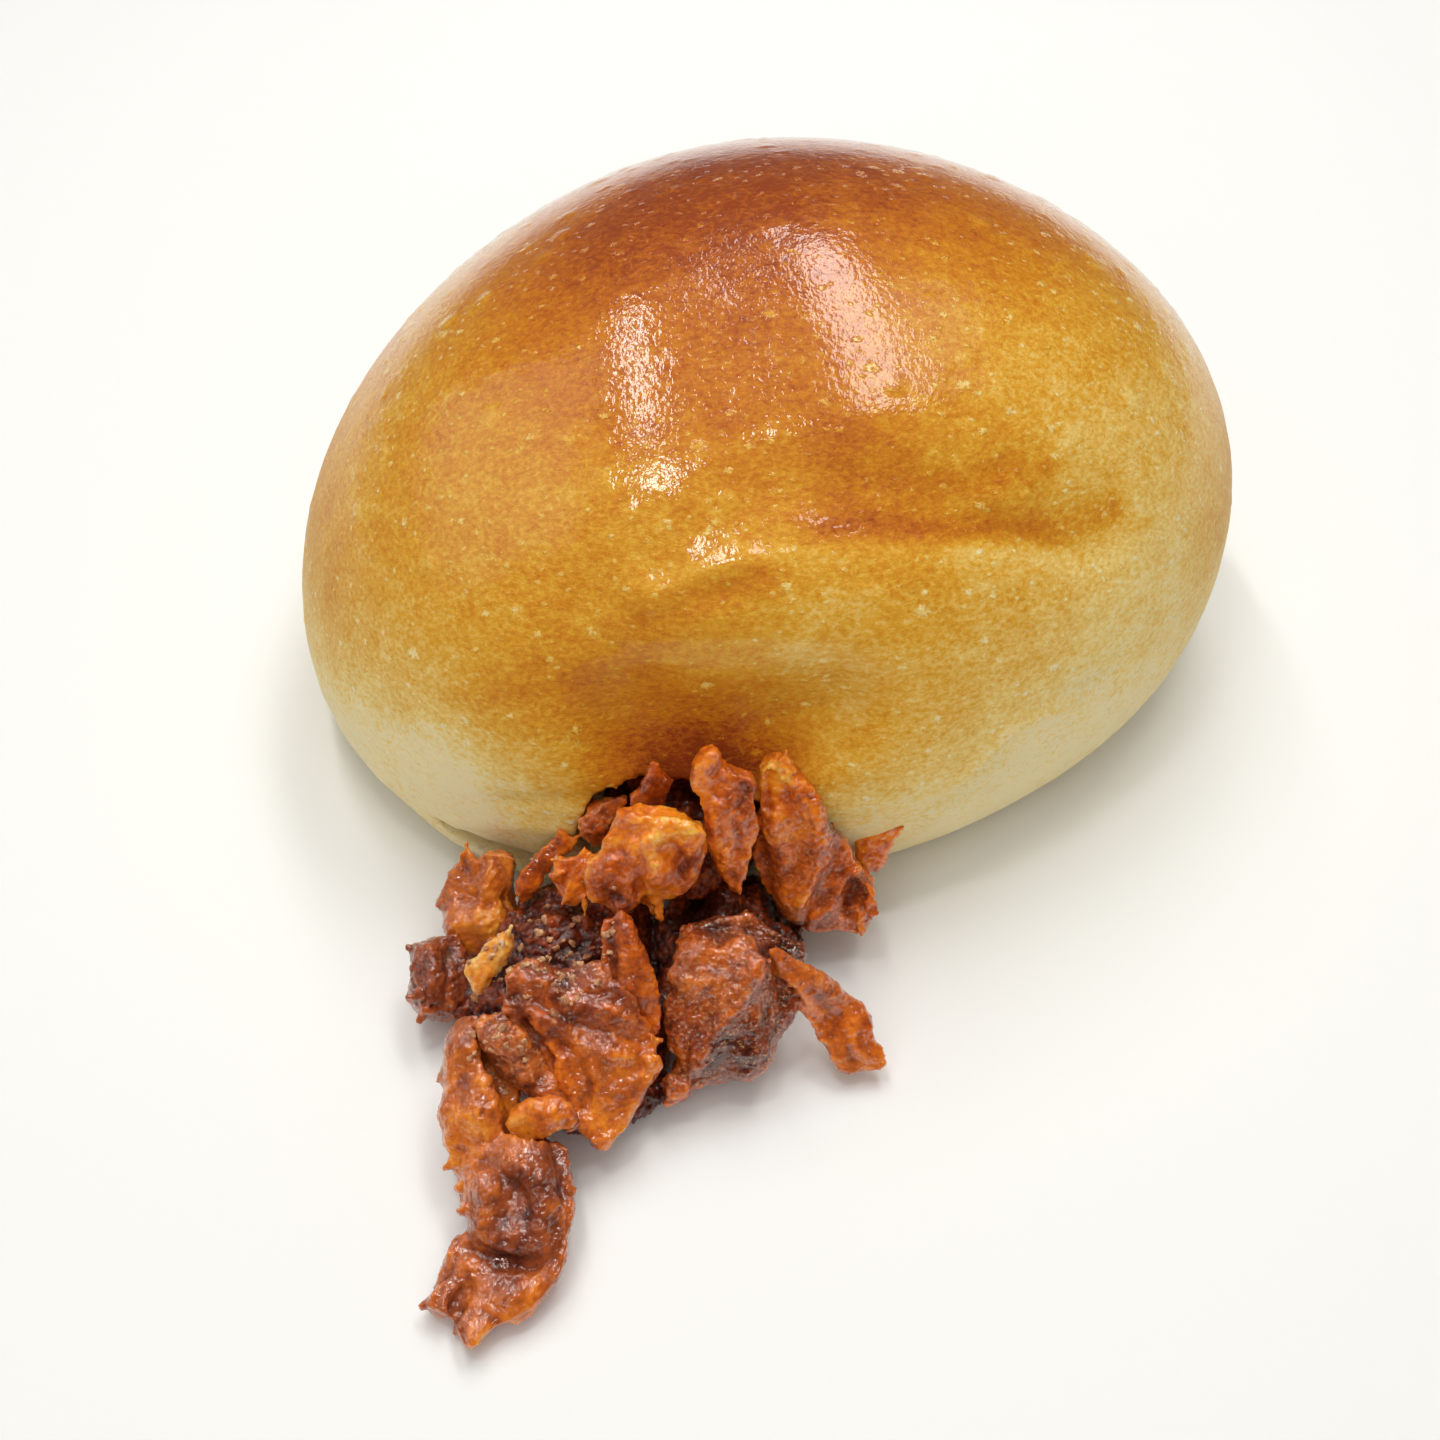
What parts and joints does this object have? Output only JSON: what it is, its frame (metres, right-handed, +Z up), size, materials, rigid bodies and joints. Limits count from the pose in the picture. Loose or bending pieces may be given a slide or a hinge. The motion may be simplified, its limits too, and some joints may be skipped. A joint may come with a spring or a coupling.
{
  "type": "roast pork bun",
  "caption": "Round baked bun with a torn open front seam and glazed chopped roast pork spilling out of it onto the surface.",
  "frame": {"origin": "middle of the bun's flat base, on the surface it stands on", "axes": "+Z up out of the top of the bun, -Y out of the torn mouth that the pork spills from, +X to the right seen from the mouth"},
  "size_m": [0.1008, 0.1427, 0.0499],
  "materials": {
    "crust": "baked golden brown crust, satin, paler towards the base",
    "glazed_pork": "roast pork in a glossy red brown glaze",
    "brown_pork": "darker roast pork, moist, with a mauve tint",
    "pork_fat": "golden translucent pork fat, glossy",
    "minced_pork": "dark minced pork in thick sauce"
  },
  "bodies": {
    "root": {"bun": "crust", "minced_filling": "minced_pork", "peak_chunk": "glazed_pork", "right_chunk": "glazed_pork", "fatty_chunk": "pork_fat", "back_lump": "brown_pork", "back_fin": "glazed_pork", "side_fin": "glazed_pork", "torn_flake": "glazed_pork", "leaning_flake": "glazed_pork", "upright_wedge": "glazed_pork", "big_chunk": "glazed_pork", "hanging_strip": "glazed_pork", "slab": "glazed_pork", "long_strip": "brown_pork", "crumbly_chunk": "brown_pork", "folded_flap": "glazed_pork", "left_chunk": "brown_pork", "dark_chunk": "brown_pork", "fat_flake": "pork_fat"}
  },
  "joints": []
}
